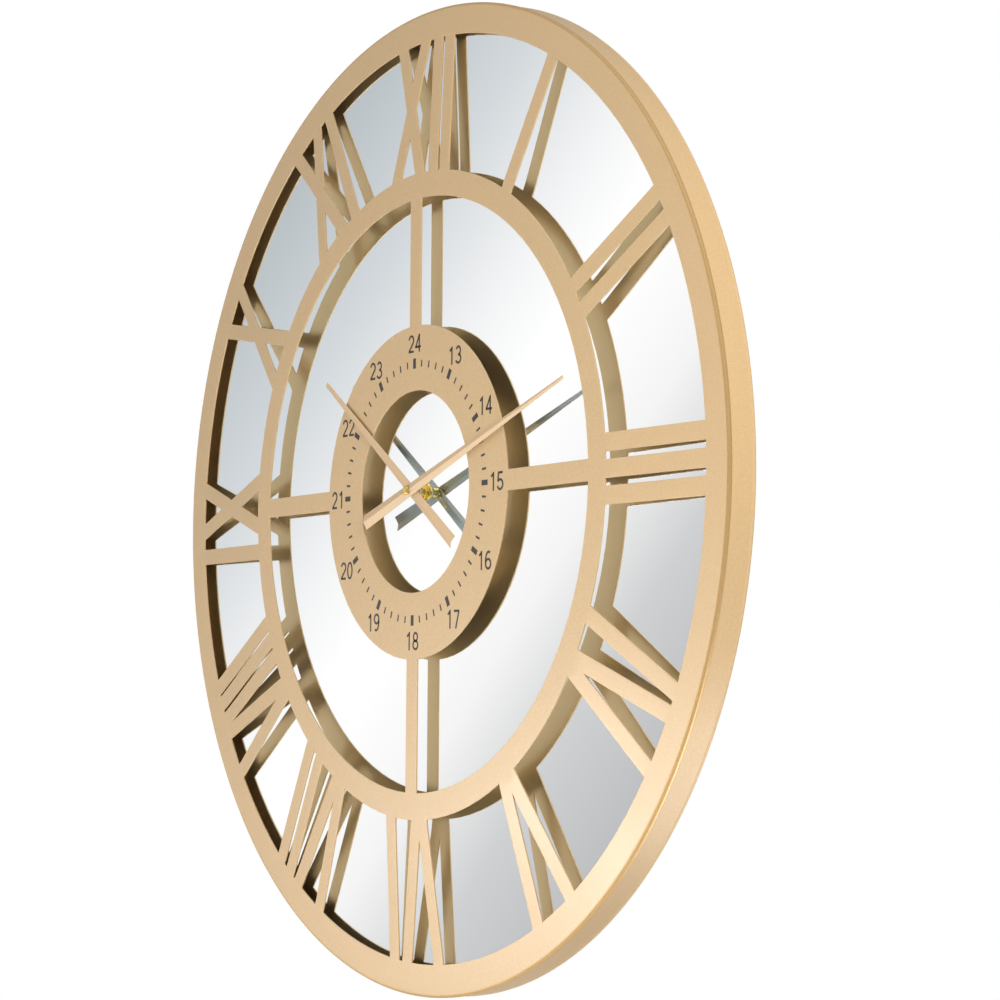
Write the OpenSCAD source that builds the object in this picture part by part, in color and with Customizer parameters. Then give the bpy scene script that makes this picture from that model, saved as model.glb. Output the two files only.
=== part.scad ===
// Wall clock: a cut sheet-metal face held in front of a round mirror, with a
// battery movement behind it. Every piece is drawn with the clock's axis along Z
// and the dial facing +Z, the wall at z = 0, and is then stood up to face -Y with
// the hanger's keyhole at the origin. Lengths are in millimetres.

/* [Face] */
// Outside diameter of the rim
outer_d = 700; // [640:5:800]
// Depth of the rim, from the outer ring back towards the wall
rim_depth = 22; // [19:0.5:30]
// Thickness of the sheet steel of the face and the rim
sheet_t = 1.2; // [0.8:0.1:1.6]
// How far the beads along the rim's edges stand out from its wall
bead_out = 0.6; // [0.4:0.1:1.2]
// Rise of the dished face from the outer ring to the middle ring
face_rise = 4; // [0:0.5:5]
// Width of the outer ring, measured from the rim's outside
outer_ring_w = 22; // [16:0.5:30]
// Inside diameter of the middle ring
middle_ring_d = 423; // [405:1:450]
// Width of the middle ring
middle_ring_w = 18.6; // [12:0.2:26]
// Outside diameter of the dial ring
dial_d = 238; // [210:1:270]
// Diameter of the hole in the dial ring
dial_hole_d = 144; // [110:1:170]
// Width of the four spokes between the dial and the middle ring
spoke_w = 14.4; // [8:0.2:24]
// Width of a numeral's strokes
stroke_w = 12.2; // [8:0.2:14]
// Half distance between a V's strokes where they meet the middle ring
vee_apex = 4; // [2:0.5:8]

/* [Mirror] */
// Distance from the front of the dial to the mirror's front
mirror_gap = 9.5; // [7:0.5:14]
// Thickness of the mirror glass
glass_t = 3; // [2:0.5:5]
// Thickness of the board that the mirror is bonded to
board_t = 3; // [2.5:0.5:5]
// Gap between the mirror's edge and the rim
edge_gap = 1.5; // [0.5:0.5:4]

/* [Rim tabs] */
// Number of tabs round the rim
tab_count = 8; // [4:1:12]
// Width of a tab along the rim
tab_w = 18; // [12:1:30]
// Reach of a tab's foot inwards from the rim
tab_reach = 22; // [16:1:35]
// Thickness of a tab and of the hanger's plate
plate_t = 1.5; // [1:0.1:2]

/* [Hands] */
// Hour shown
shown_hour = 10; // [0:1:11]
// Minute shown
shown_minute = 12; // [0:1:59]
// Length of the minute hand from the axis to its tip
minute_l = 201; // [150:1:205]
// Length of the minute hand's tail
minute_tail = 62.5; // [30:0.5:75]
// Width of the minute hand at the end of its tail
minute_w = 11.2; // [8:0.2:14]
// Width of the minute hand at its tip
minute_tip_w = 2.3; // [1:0.1:4]
// Length of the hour hand from the axis to its tip
hour_l = 150; // [110:1:170]
// Length of the hour hand's tail
hour_tail = 66; // [30:1:80]
// Width of the hour hand at the end of its tail
hour_w = 9.8; // [8:0.2:14]
// Width of the hour hand at its tip
hour_tip_w = 3.5; // [1.5:0.1:5]
// Angle of each side of the folded hands
hand_fold = 18; // [8:1:25]
// Thickness of the hands' sheet
hand_t = 0.4; // [0.3:0.05:0.6]
// Clearance below each hand
hand_gap = 0.7; // [0.4:0.1:1.5]

/* [Shafts] */
// Radius of the minute arbor
arbor_r = 1.65; // [1.4:0.05:2]
// Radius of the arbor's threaded tip
tip_r = 1.25; // [1:0.05:1.35]
// Wall of the hour pipe
pipe_wall = 0.85; // [0.6:0.05:1.2]
// Wall of the threaded bush
bush_wall = 1.4; // [1:0.1:2]
// Radial clearance of each turning fit
run_gap = 0.05; // [0.02:0.01:0.1]
// Length of the bush in front of the hexagon nut
bush_proud = 1.2; // [0.4:0.2:1.8]
// Width across the flats of the hexagon nut
nut_af = 10.4; // [10:0.2:13]
// Thickness of the hexagon nut
nut_t = 2; // [1.5:0.1:3]
// Radius of the cap nut
cap_r = 3.2; // [2.4:0.1:4]
// Height of the cap nut
cap_h = 2; // [1.6:0.1:3]

/* [Movement] */
// Diameter of the battery cell
cell_d = 14.5; // [14:0.1:14.7]
// Length of the battery cell with its stud
cell_l = 50.5; // [49:0.1:51]
// Wall of the movement's case
case_wall = 1.6; // [1.2:0.1:2.4]
// Rounding of the case's corners
case_corner_r = 5; // [3:0.5:8]
// Distance between the shaft and the motion wheel
gear_centre = 11.5; // [10.5:0.1:12.5]
// Width of the gears
gear_w = 1.5; // [1:0.1:2]
// Radius of the setting knob
knob_r = 6; // [4:0.5:8]
// Thickness of the setting knob
knob_t = 2; // [1.5:0.1:3]
// Thickness of the rubber gasket
gasket_t = 1; // [0.5:0.1:2]

/* [Wall hanger] */
// Height of the keyhole above the clock's axis
hanger_height = 240; // [180:5:280]
// Radius of the keyhole's entry
keyhole_r = 5; // [4:0.1:6]
// Width of the keyhole's slot
keyhole_slot_w = 5; // [4:0.1:6]
// Travel from the keyhole's entry to the end of its slot
keyhole_travel = 10; // [7:0.5:14]
// Radius of a wall bumper where it meets the board
bumper_r = 12; // [8:0.5:18]
// Distance of the wall bumpers from the clock's axis
bumper_reach = 280; // [200:5:300]

/* [Hidden] */
$fn = 96;

// Clearances: close seats, loose seats, and a cut's reach past a face
seat_gap = 0.1;
loose_gap = 0.3;
over = 1;

// Each numeral's letters, as [letter, place along the ring from the hour's radius,
// half spread of its strokes at the outer ring]
numerals = [
    [["I", 1]],
    [["I", -8.5], ["I", 11.5]],
    [["I", -16.5], ["I", 0.5], ["I", 17.5]],
    [["I", -25.5], ["V", 9.5, 20]],
    [["V", -5, 21]],
    [["V", -11, 20.5], ["I", 26]],
    [["V", -17, 18], ["I", 16], ["I", 32]],
    [["V", -29, 18.5], ["I", 0.5], ["I", 15], ["I", 29]],
    [["I", -33], ["X", 4.5, 17]],
    [["X", 1, 18]],
    [["X", -4.5, 17], ["I", 32]],
    [["X", -11, 15.5], ["I", 22], ["I", 37]]
];
hour_angle = 360 / len(numerals);

// Radii of the face
rim_r = outer_d / 2;
bead_r = sheet_t + bead_out;
rim_bore_r = rim_r - bead_r;
face_r = rim_bore_r;
outer_ring_r = rim_r - outer_ring_w;
middle_bore_r = middle_ring_d / 2;
middle_r = middle_bore_r + middle_ring_w;
dial_r = dial_d / 2;
dial_hole_r = dial_hole_d / 2;
dish_margin = 5;
glass_r = rim_bore_r - edge_gap;

// Radii of the shafts, each inside the next
pipe_bore_r = arbor_r + run_gap;
pipe_r = pipe_bore_r + pipe_wall;
bush_bore_r = pipe_r + run_gap;
bush_r = bush_bore_r + bush_wall;
spigot_step = 0.6;
flange_w = 2;
washer_margin = 2;
washer_t = 0.6;
gasket_w = 8;
bush_spigot_r = bush_r - spigot_step;
bush_flange_r = bush_r + flange_w;
board_hole_r = bush_r + loose_gap;
washer_r = nut_af / 2 + washer_margin;
gasket_r = bush_flange_r + gasket_w;
collet_wall = 1;
collet_r = pipe_r + collet_wall;
collet_l = 4.5;

// Gears of the motion work: 12 on the arbor drives 36, 10 on the same stem drives 40
arbor_teeth = 12;
motion_teeth = 36;
stem_teeth = 10;
hour_teeth = 40;
fast_module = 2 * gear_centre / (arbor_teeth + motion_teeth);
slow_module = 2 * gear_centre / (stem_teeth + hour_teeth);
pressure_angle = 25;
tooth_addendum = 0.8;
tooth_dedendum = 1.15;
tooth_backlash = 0.08;
flank_steps = 4;
motion_angle = 45;
hour_wheel_r = slow_module * (hour_teeth / 2 + tooth_addendum);
motion_wheel_r = fast_module * (motion_teeth / 2 + tooth_addendum);
stem_r = 1.3;
pivot_r = 0.8;
pivot_l = 1;

// Plan of the movement: the battery sets its width, the gears and battery its height
contact_room = 1.15;
contact_t = 0.4;
bay_wall = 1;
bay_wall_y = -(hour_wheel_r + loose_gap * 2);
cell_y = bay_wall_y - bay_wall - loose_gap - cell_d / 2;
case_x = cell_l / 2 + contact_room + case_wall;
case_top = case_x;
case_bottom = cell_y - cell_d / 2 - loose_gap - case_wall;
inner_x = case_x - case_wall;
inner_top = case_top - case_wall;
inner_corner_r = 1.5;

// Stack from the wall to the hands
knob_back = 0.5;
case_back = knob_back + knob_t + loose_gap;
case_front = case_back + loose_gap + cell_d + loose_gap + case_wall;
board_back = case_front + gasket_t;
glass_back = board_back + board_t;
glass_front = glass_back + glass_t;
face_front = glass_front + mirror_gap;
face_back = face_front - sheet_t;
ring_front = face_front - face_rise;
ring_back = ring_front - sheet_t;
rim_back = ring_front - rim_depth;
cover_t = case_wall;
case_floor = case_front - case_wall;
cover_front = case_back + cover_t;
bush_front = glass_front + washer_t + nut_t + bush_proud;
fold_slope = tan(hand_fold);
fold_t = hand_t / cos(hand_fold);
hour_edge = face_front + hand_gap;
hour_ridge = hour_edge + fold_slope * hour_w / 2;
hour_top = hour_ridge + fold_t;
minute_edge = hour_top + hand_gap;
minute_ridge = minute_edge + fold_slope * minute_w / 2;
minute_top = minute_ridge + fold_t;
bush_seat = minute_edge - loose_gap;
hub_wall = 0.55;
hub_flange_w = 1.2;
hub_r = tip_r + hub_wall;
hub_flange_r = hub_r + hub_flange_w;

// Levels of the gears behind the case's floor
slow_level = case_floor - loose_gap - gear_w;
fast_level = slow_level - loose_gap * 2 - gear_w;

// Pieces inside the movement, kept clear of the gears
inside_gap = 1.5;
arbor_bearing_l = 3;
arbor_bearing_wall = 1.2;
circuit_t = 1;
circuit_level = fast_level - inside_gap;
circuit_low = [hour_wheel_r + inside_gap, bay_wall_y + seat_gap];
circuit_high = [inner_x - seat_gap, -inside_gap];
post_r = 1.2;
post_inset = 2.5;
posts = [circuit_low.x + post_inset, circuit_high.x - post_inset];
coil_start = -hour_wheel_r;
coil_end = inner_x - case_corner_r;
coil_low = gear_centre * sin(motion_angle) + motion_wheel_r + loose_gap * 2;
coil_y = (coil_low + inner_top) / 2;
coil_half = (inner_top - coil_low) / 2 - seat_gap;
cheek_depth = 9;
cheek_t = 1.2;
coil_back = case_floor - cheek_depth;
leaf_w = 10;
leaf_clear = 1;
cell_stud_l = 1.3;
cell_stud_r = 2.75;
cell_edge = 0.8;
knob_flute_r = 0.5;
knob_flutes = 20;

// Tabs: where one ends at the back, the angle that it takes up, and its screw's place
tab_back = rim_back + bead_r + loose_gap;
tab_angle = tab_w / rim_bore_r * 180 / PI;
tab_screw_r = rim_bore_r - (tab_reach + plate_t) / 2;

// Screws: shank and head, and their bite into the board
screw_r = 1.5;
screw_head_r = 3;
screw_head_h = 1.6;
screw_end_gap = 0.6;
screw_bite = board_t - screw_end_gap;

// Hanger: a hat-shaped plate whose crown lies at the wall
crown_w = 34;
hanger_foot = 14;
hanger_l = 34;
hanger_rise = 7;
hanger_screw_x = crown_w / 2 + hanger_foot / 2;
bumper_angles = [225, 315];
bumper_taper = 2.5;

// Shown time as angles clockwise from twelve
minute_angle = shown_minute * 6;
hour_hand_angle = shown_hour * hour_angle + shown_minute * hour_angle / 60;

gold = [0.82, 0.68, 0.50];
brass = [0.85, 0.76, 0.45];
steel = [0.75, 0.76, 0.78];
glass = [0.80, 0.84, 0.86];
board = [0.50, 0.38, 0.27];
black = [0.12, 0.12, 0.13];
ivory = [0.88, 0.86, 0.80];
rubber = [0.18, 0.18, 0.18];
copper = [0.72, 0.42, 0.25];
green = [0.12, 0.35, 0.22];

// Stands a piece up from the drawing frame, with the keyhole at the origin
module stand_up() {
    translate([0, 0, -hanger_height])
        rotate([90, 0, 0])
            children();
}

// Turns a piece clockwise from twelve, as seen from the front
module clockwise(angle) {
    rotate(-angle)
        children();
}

module ring(outer_r, inner_r) {
    difference() {
        circle(r = outer_r, $fn = 360);
        circle(r = inner_r, $fn = 360);
    }
}

module tube(outer_r, inner_r, low, high) {
    translate([0, 0, low])
        difference() {
            cylinder(r = outer_r, h = high - low);
            translate([0, 0, -over])
                cylinder(r = inner_r, h = high - low + 2 * over);
        }
}

module rod(r, low, high) {
    translate([0, 0, low])
        cylinder(r = r, h = high - low);
}

// A piece turned on the lathe: a bore with steps of [outside radius, end], from low up
module turned(bore_r, low, steps) {
    last = len(steps) - 1;
    rotate_extrude()
        polygon(concat(
            [[bore_r, low]],
            [for (index = [0:last]) each [
                [steps[index][0], index == 0 ? low : steps[index - 1][1]],
                steps[index]
            ]],
            [[bore_r, steps[last][1]]]
        ));
}

// A block between two corners
module block(low, high) {
    translate(low)
        cube(high - low);
}

// A rectangle with round corners, between two corners
module rounded_rectangle(low, high, r) {
    translate(low + [r, 0])
        square([high.x - low.x - 2 * r, high.y - low.y]);
    translate(low + [0, r])
        square([high.x - low.x, high.y - low.y - 2 * r]);
    for (x = [low.x + r, high.x - r], y = [low.y + r, high.y - r])
        translate([x, y])
            circle(r = r);
}

// One straight stroke of a numeral between the middle and the outer ring, from its
// place at the inner end to its place at the outer end, sunk halfway into both rings
module stroke(inner, outer) {
    span = outer_ring_r - middle_r;
    lean = (outer - inner) / span;
    half = stroke_w / 2 * sqrt(1 + lean * lean);
    low = middle_r - middle_ring_w / 2;
    high = outer_ring_r + (face_r - outer_ring_r) / 2;
    low_x = inner + lean * (low - middle_r);
    high_x = outer + lean * (high - outer_ring_r);
    polygon([[low_x - half, low], [low_x + half, low], [high_x + half, high], [high_x - half, high]]);
}

module letter(name, place, spread) {
    if (name == "I")
        stroke(place, place);
    if (name == "V")
        for (side = [-1, 1])
            stroke(place + side * vee_apex, place + side * spread);
    if (name == "X")
        for (side = [-1, 1])
            stroke(place - side * spread, place + side * spread);
}

module face_outline() {
    ring(face_r, outer_ring_r);
    ring(middle_r, middle_bore_r);
    ring(dial_r, dial_hole_r);
    for (quarter = [0:3])
        rotate(90 * quarter)
            translate([-spoke_w / 2, (dial_r + dial_hole_r) / 2])
                square([spoke_w, (middle_r + middle_bore_r - dial_r - dial_hole_r) / 2]);
    for (hour = [1:len(numerals)])
        clockwise(hour * hour_angle)
            for (part = numerals[hour - 1])
                letter(part[0], part[1], part[2]);
}

// Section of the dished sheet: the middle is flat, the numerals slope back, and the
// outer ring is flat again
module face_section() {
    slope_start = middle_r + dish_margin;
    slope_end = outer_ring_r - dish_margin;
    polygon([
        [dial_hole_r - over, face_back], [slope_start, face_back],
        [slope_end, ring_back], [face_r + over, ring_back],
        [face_r + over, ring_front], [slope_end, ring_front],
        [slope_start, face_front], [dial_hole_r - over, face_front]
    ]);
}

// The face: rings, spokes and numerals cut from one sheet and dished
module face_plate() {
    color(gold)
        stand_up()
            intersection() {
                translate([0, 0, ring_back - over])
                    linear_extrude(face_front - ring_back + 2 * over)
                        face_outline();
                rotate_extrude($fn = 360)
                    face_section();
            }
}

// The rolled rim: a wall round the face's edge, with a half-round bead along its front and
// its back
module rim_profile() {
    translate([rim_bore_r, rim_back + bead_r])
        square([sheet_t, rim_depth - 2 * bead_r]);
    intersection() {
        for (level = [rim_back + bead_r, ring_front - bead_r])
            translate([rim_bore_r, level])
                circle(r = bead_r);
        translate([rim_bore_r, rim_back])
            square([bead_r, rim_depth]);
    }
}

module rim_band() {
    color(gold)
        stand_up()
            rotate_extrude($fn = 360)
                rim_profile();
}

module around_tabs() {
    for (index = [0:tab_count - 1])
        rotate((index + 0.5) * 360 / tab_count)
            children();
}

// Angle tabs welded inside the rim, with a foot behind the board
module rim_tabs() {
    color(gold)
        stand_up()
            around_tabs()
                difference() {
                    rotate(-tab_angle / 2)
                        rotate_extrude(angle = tab_angle, $fn = 360) {
                            translate([rim_bore_r - tab_reach, board_back - plate_t])
                                square([tab_reach, plate_t]);
                            translate([rim_bore_r - plate_t, tab_back])
                                square([plate_t, board_back - tab_back]);
                        }
                    translate([tab_screw_r, 0, 0])
                        rod(screw_r + seat_gap, board_back - plate_t - over, board_back + over);
                }
}

// A pan-head screw driven forwards, its head seated at the given height
module pan_screw(seat, bite_end) {
    rod(screw_r, seat, bite_end);
    translate([0, 0, seat])
        rotate_extrude()
            polygon([
                [0, 0], [screw_head_r, 0], [screw_head_r, -screw_head_h / 2],
                [screw_head_r - screw_head_h / 2, -screw_head_h], [0, -screw_head_h]
            ]);
}

module board_screws() {
    color(steel)
        stand_up()
            around_tabs()
                translate([tab_screw_r, 0, 0])
                    pan_screw(board_back - plate_t, board_back + screw_bite);
}

module mirror_glass() {
    color(glass)
        stand_up()
            translate([0, 0, glass_back])
                linear_extrude(glass_t)
                    ring(glass_r, board_hole_r);
}

module back_board() {
    color(board)
        stand_up()
            difference() {
                translate([0, 0, board_back])
                    linear_extrude(board_t)
                        ring(glass_r, board_hole_r);
                around_tabs()
                    translate([tab_screw_r, 0, 0])
                        rod(screw_r, board_back - over, board_back + screw_bite);
                at_hanger_screws()
                    rod(screw_r, board_back - over, board_back + screw_bite);
            }
}

// Places of the hanger's two screws
module at_hanger_screws() {
    for (side = [-1, 1])
        translate([side * hanger_screw_x, hanger_height + hanger_rise, 0])
            children();
}

// The hanger's cross-section: a crown at the wall between two feet on the board
module hanger_profile() {
    side = crown_w / 2;
    foot = side + hanger_foot;
    half = [
        [side, 0], [side, board_back - plate_t], [foot, board_back - plate_t],
        [foot, board_back], [side - plate_t, board_back], [side - plate_t, plate_t]
    ];
    polygon(concat(half, [for (index = [len(half) - 1:-1:0]) [-half[index].x, half[index].y]]));
}

// A hat-shaped plate with a keyhole in its crown, slot upwards
module hanger_bracket() {
    color(steel)
        stand_up()
            difference() {
                translate([0, hanger_height + hanger_rise + hanger_l / 2, 0])
                    rotate([90, 0, 0])
                        linear_extrude(hanger_l)
                            hanger_profile();
                translate([0, hanger_height, 0]) {
                    rod(keyhole_r, -over, plate_t + over);
                    translate([0, keyhole_travel, 0])
                        rod(keyhole_slot_w / 2, -over, plate_t + over);
                    block(
                        [-keyhole_slot_w / 2, 0, -over],
                        [keyhole_slot_w / 2, keyhole_travel, plate_t + over]
                    );
                }
                at_hanger_screws()
                    rod(screw_r + seat_gap, board_back - plate_t - over, board_back + over);
            }
}

module hanger_screws() {
    color(steel)
        stand_up()
            at_hanger_screws()
                pan_screw(board_back - plate_t, board_back + screw_bite);
}

// Rubber feet that keep the lower edge as far from the wall as the hanger
module wall_bumpers() {
    color(rubber)
        stand_up()
            for (angle = bumper_angles)
                rotate(angle)
                    translate([bumper_reach, 0, 0])
                        cylinder(r1 = bumper_r - bumper_taper, r2 = bumper_r, h = board_back);
}

// The brass bush: a flange on the case, a spigot into it, and the clamping thread
module threaded_bush() {
    color(brass)
        stand_up()
            turned(bush_bore_r, case_floor, [
                [bush_spigot_r, case_front], [bush_flange_r, board_back], [bush_r, bush_front]
            ]);
}

module rubber_gasket() {
    color(rubber)
        stand_up()
            tube(gasket_r, bush_flange_r + seat_gap, case_front, board_back);
}

module flat_washer() {
    color(brass)
        stand_up()
            tube(washer_r, bush_r + seat_gap, glass_front, glass_front + washer_t);
}

module hex_nut() {
    seat = glass_front + washer_t;
    color(brass)
        stand_up()
            difference() {
                translate([0, 0, seat])
                    cylinder(d = nut_af / cos(30), h = nut_t, $fn = 6);
                rod(bush_r + run_gap, seat - over, seat + nut_t + over);
            }
}

// Where the motion wheel's stem stands
module at_motion_stem() {
    translate(gear_centre * [cos(motion_angle), sin(motion_angle), 0])
        children();
}

module case_plan(inset, corner_r) {
    rounded_rectangle([-case_x + inset, case_bottom + inset], [case_x - inset, case_top - inset], corner_r);
}

// The movement's tray, open to the back, with a bay for the battery
module movement_case() {
    color(black)
        stand_up()
            difference() {
                union() {
                    difference() {
                        translate([0, 0, case_back])
                            linear_extrude(case_front - case_back)
                                case_plan(0, case_corner_r);
                        translate([0, 0, case_back - over])
                            linear_extrude(case_floor - case_back + over)
                                case_plan(case_wall, inner_corner_r);
                    }
                    block([-inner_x, bay_wall_y - bay_wall, cover_front], [inner_x, bay_wall_y, case_floor]);
                    for (x = posts)
                        translate([x, (circuit_low.y + circuit_high.y) / 2, 0])
                            rod(post_r, circuit_level, case_floor);
                }
                rod(bush_spigot_r, case_floor - over, case_front + over);
                at_motion_stem()
                    rod(pivot_r + run_gap, case_floor - over, case_floor + pivot_l);
            }
}

// The lid over the gears, with the arbor's rear bearing and the knob's hole
module movement_cover() {
    color(black)
        stand_up()
            difference() {
                union() {
                    translate([0, 0, case_back])
                        linear_extrude(cover_t)
                            intersection() {
                                case_plan(case_wall + seat_gap, inner_corner_r);
                                translate([-case_x, bay_wall_y - bay_wall])
                                    square([2 * case_x, 2 * case_x]);
                            }
                    rod(arbor_r + arbor_bearing_wall, cover_front, cover_front + arbor_bearing_l);
                }
                rod(arbor_r + run_gap, cover_front - cover_t / 2, cover_front + arbor_bearing_l + over);
                at_motion_stem()
                    rod(stem_r + run_gap, case_back - over, cover_front + over);
            }
}

// The sealed unit with the stepping motor and its reduction wheels
module motor_unit() {
    color(ivory)
        stand_up()
            translate([0, 0, cover_front + loose_gap])
                linear_extrude(case_floor - cover_front - loose_gap)
                    rounded_rectangle(
                        [-inner_x + seat_gap, bay_wall_y + seat_gap],
                        [-hour_wheel_r - inside_gap, inner_top - seat_gap],
                        inner_corner_r
                    );
}

// The motor's coil: a bobbin with square cheeks that stand on the case's floor
module drive_coil() {
    color(copper)
        stand_up() {
            for (x = [coil_start, coil_end - cheek_t])
                block([x, coil_y - coil_half, coil_back], [x + cheek_t, coil_y + coil_half, case_floor]);
            translate([coil_start, coil_y, (coil_back + case_floor) / 2])
                rotate([0, 90, 0])
                    cylinder(r = coil_half - seat_gap * 2, h = coil_end - coil_start);
        }
}

module circuit_board() {
    color(green)
        stand_up()
            block(
                [circuit_low.x, circuit_low.y, circuit_level - circuit_t],
                [circuit_high.x, circuit_high.y, circuit_level]
            );
}

// A contact leaf on the case's side wall, pressed out to a dimple that meets the cell
module contact_leaf(side) {
    dimple = contact_room - seat_gap;
    low = cover_front + leaf_clear;
    color(brass)
        stand_up()
            translate([side * inner_x, cell_y, low])
                mirror([side > 0 ? 1 : 0, 0, 0])
                    linear_extrude(case_floor - low)
                        polygon([
                            [0, -leaf_w / 2], [contact_t, -leaf_w / 2], [contact_t, -leaf_w / 4],
                            [dimple, -leaf_w / 8], [dimple, leaf_w / 8], [contact_t, leaf_w / 4],
                            [contact_t, leaf_w / 2], [0, leaf_w / 2]
                        ]);
}

module contact_positive() {
    contact_leaf(1);
}

module contact_negative() {
    contact_leaf(-1);
}

// The battery cell, lying across the bay with its stud to the right
module battery() {
    color(green)
        stand_up()
            translate([-cell_l / 2, cell_y, case_back + loose_gap + cell_d / 2])
                rotate([0, 90, 0]) {
                    body_l = cell_l - cell_stud_l;
                    rotate_extrude()
                        polygon([
                            [0, 0], [cell_d / 2 - cell_edge, 0], [cell_d / 2, cell_edge],
                            [cell_d / 2, body_l - cell_edge], [cell_d / 2 - cell_edge, body_l], [0, body_l]
                        ]);
                    rod(cell_stud_r, body_l, cell_l);
                }
}

function polar(r, angle) = r * [cos(angle), sin(angle)];

// Angle by which an involute has turned when it reaches the radius r
function involute_angle(base_r, r) =
    let (slope = sqrt(max(0, pow(r / base_r, 2) - 1)))
    slope * 180 / PI - atan(slope);

// Half the angle that a tooth takes up at the radius r
function half_tooth(teeth, tooth_module, r) =
    let (pitch_r = teeth * tooth_module / 2, base_r = pitch_r * cos(pressure_angle))
    90 / teeth - tooth_backlash / 2 / pitch_r * 180 / PI
    + involute_angle(base_r, pitch_r) - involute_angle(base_r, max(r, base_r));

// Outline of a gear with involute flanks, its first tooth along +X
function gear_points(teeth, tooth_module) =
    let (
        root_r = tooth_module * (teeth / 2 - tooth_dedendum),
        tip_r = tooth_module * (teeth / 2 + tooth_addendum),
        radii = [for (step = [0:flank_steps]) root_r + (tip_r - root_r) * step / flank_steps]
    )
    [for (tooth = [0:teeth - 1]) each concat(
        [for (r = radii)
            polar(r, tooth * 360 / teeth - half_tooth(teeth, tooth_module, r))],
        [for (step = [flank_steps:-1:0])
            polar(radii[step], tooth * 360 / teeth + half_tooth(teeth, tooth_module, radii[step]))]
    )];

// A gear between two levels, with a tooth or a gap towards the given direction
module gear(teeth, tooth_module, low, high, direction, tooth_there) {
    translate([0, 0, low])
        rotate(direction + (tooth_there ? 0 : 180 / teeth))
            linear_extrude(high - low)
                polygon(gear_points(teeth, tooth_module));
}

// The minute arbor with its pinion, from the rear bearing to the threaded tip
module minute_arbor() {
    color(brass)
        stand_up() {
            rod(arbor_r, cover_front, bush_seat);
            rod(tip_r, bush_seat, minute_top + cap_h / 2);
            gear(arbor_teeth, fast_module, fast_level, fast_level + gear_w, motion_angle, true);
        }
}

// The brass bush under the minute hand, with a spigot through it
module minute_hand_bush() {
    under_fold = minute_ridge - fold_slope * hub_flange_r;
    color(brass)
        stand_up()
            turned(tip_r, bush_seat, [[hub_flange_r, under_fold], [hub_r, minute_top]]);
}

// A tapered strip folded along its middle, with a round hole at the axis
module folded_hand(length, tail, tail_w, tip_w, ridge, hole_r) {
    half = tail_w / 2;
    fall = fold_slope * half;
    difference() {
        intersection() {
            translate([0, length, ridge])
                rotate([90, 0, 0])
                    linear_extrude(length + tail)
                        polygon([
                            [-half, -fall], [0, 0], [half, -fall],
                            [half, fold_t - fall], [0, fold_t], [-half, fold_t - fall]
                        ]);
            translate([0, 0, ridge - fall - over])
                linear_extrude(fall + fold_t + 2 * over)
                    polygon([[-half, -tail], [half, -tail], [tip_w / 2, length], [-tip_w / 2, length]]);
        }
        rod(hole_r, ridge - fall - over, ridge + fold_t + over);
    }
}

module minute_hand() {
    color(gold)
        stand_up()
            clockwise(minute_angle)
                folded_hand(minute_l, minute_tail, minute_w, minute_tip_w, minute_ridge, hub_r);
}

// The domed nut on the arbor's tip
module cap_nut() {
    rise = cap_h / 2;
    color(brass)
        stand_up()
            difference() {
                translate([0, 0, minute_top])
                    rotate_extrude() {
                        square([cap_r, rise]);
                        translate([0, rise])
                            square([cap_r - rise, rise]);
                        translate([cap_r - rise, rise])
                            intersection() {
                                circle(r = rise);
                                square(rise);
                            }
                    }
                rod(tip_r, minute_top - over, minute_top + cap_h / 2);
            }
}

module hour_wheel() {
    color(ivory)
        stand_up()
            difference() {
                gear(hour_teeth, slow_module, slow_level, slow_level + gear_w, motion_angle, false);
                rod(pipe_r, slow_level - over, slow_level + gear_w + over);
            }
}

module hour_pipe() {
    color(ivory)
        stand_up()
            tube(pipe_r, pipe_bore_r, slow_level, hour_ridge);
}

// The brass collet on the hour pipe that carries the hour hand
module hour_hand_collet() {
    under_fold = hour_ridge - fold_slope * collet_r;
    color(brass)
        stand_up()
            tube(collet_r, pipe_r, under_fold - collet_l, under_fold);
}

module hour_hand() {
    color(gold)
        stand_up()
            clockwise(hour_hand_angle)
                folded_hand(hour_l, hour_tail, hour_w, hour_tip_w, hour_ridge, pipe_r);
}

// The motion wheel, its pinion and its stem, in one moulding
module motion_wheel() {
    toward_shaft = motion_angle + 180;
    color(ivory)
        stand_up()
            at_motion_stem() {
                gear(motion_teeth, fast_module, fast_level, fast_level + gear_w, toward_shaft, false);
                gear(stem_teeth, slow_module, fast_level + gear_w, slow_level + gear_w, toward_shaft, true);
                rod(pivot_r, slow_level + gear_w, case_floor + pivot_l - seat_gap);
                rod(stem_r, knob_back + knob_t, fast_level);
            }
}

// The setting knob at the back, with grip flutes round its edge
module setting_knob() {
    color(black)
        stand_up()
            at_motion_stem()
                difference() {
                    rod(knob_r, knob_back, knob_back + knob_t);
                    for (flute = [0:knob_flutes - 1])
                        rotate(flute * 360 / knob_flutes)
                            translate([knob_r + knob_flute_r / 4, 0, 0])
                                rod(knob_flute_r, knob_back - over, knob_back + knob_t + over, $fn = 24);
                }
}

face_plate();
rim_band();
rim_tabs();
mirror_glass();
back_board();
board_screws();
hanger_bracket();
hanger_screws();
wall_bumpers();
threaded_bush();
rubber_gasket();
flat_washer();
hex_nut();
movement_case();
movement_cover();
motor_unit();
drive_coil();
circuit_board();
contact_positive();
contact_negative();
battery();
minute_arbor();
minute_hand_bush();
minute_hand();
cap_nut();
hour_wheel();
hour_pipe();
hour_hand_collet();
hour_hand();
motion_wheel();
setting_knob();
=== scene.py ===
"""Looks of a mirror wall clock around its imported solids: finishes, dial print, light and camera."""

import logging
import math
from dataclasses import dataclass
from enum import Enum

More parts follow.
